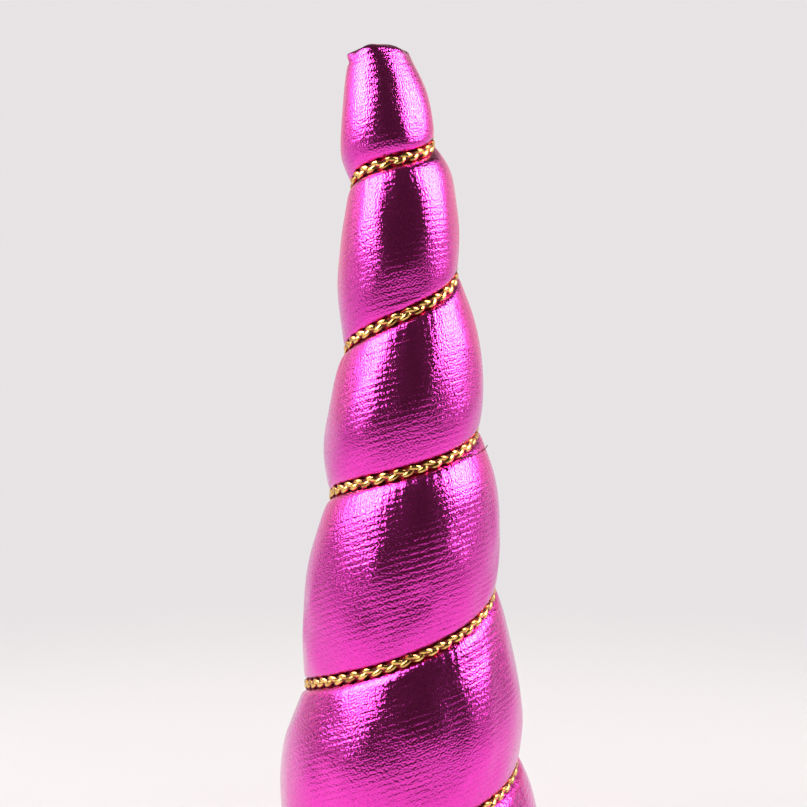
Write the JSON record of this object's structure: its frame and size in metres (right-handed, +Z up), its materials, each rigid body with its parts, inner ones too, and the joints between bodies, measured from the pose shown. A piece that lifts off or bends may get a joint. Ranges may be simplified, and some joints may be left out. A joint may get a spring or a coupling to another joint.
{
  "type": "unicorn horn party hat",
  "caption": "Padded unicorn-horn party hat: a stuffed metallic fabric cone wound with a gold cord, sewn to a felt base with eyelets for a chin elastic.",
  "frame": {"origin": "centre of the felt base's underside", "axes": "+Z up along the horn, +X towards the right eyelet, +Y towards the cover's back seam"},
  "size_m": [0.0692, 0.0464, 0.1253],
  "materials": {
    "foil_fabric": "metallic foil on a ribbed knit",
    "fibre_filling": "loose polyester fibre",
    "gold_cord": "braided metallic yarn",
    "thread": "satin sewing thread",
    "board": "matte greyboard",
    "felt": "matte wool felt",
    "eyelet_metal": "polished"
  },
  "bodies": {
    "root": {"horn_cover": "foil_fabric", "stuffing": "fibre_filling", "spiral_cord": "gold_cord", "seam_stitches": "thread", "tip_tack_stitches": "thread", "foot_tack_stitches": "thread", "hem_drawstring": "thread", "base_board": "board", "felt_base": "felt", "base_whip_stitches": "thread", "eyelet_right": "eyelet_metal", "eyelet_left": "eyelet_metal", "washer_right": "eyelet_metal", "washer_left": "eyelet_metal"}
  },
  "joints": []
}
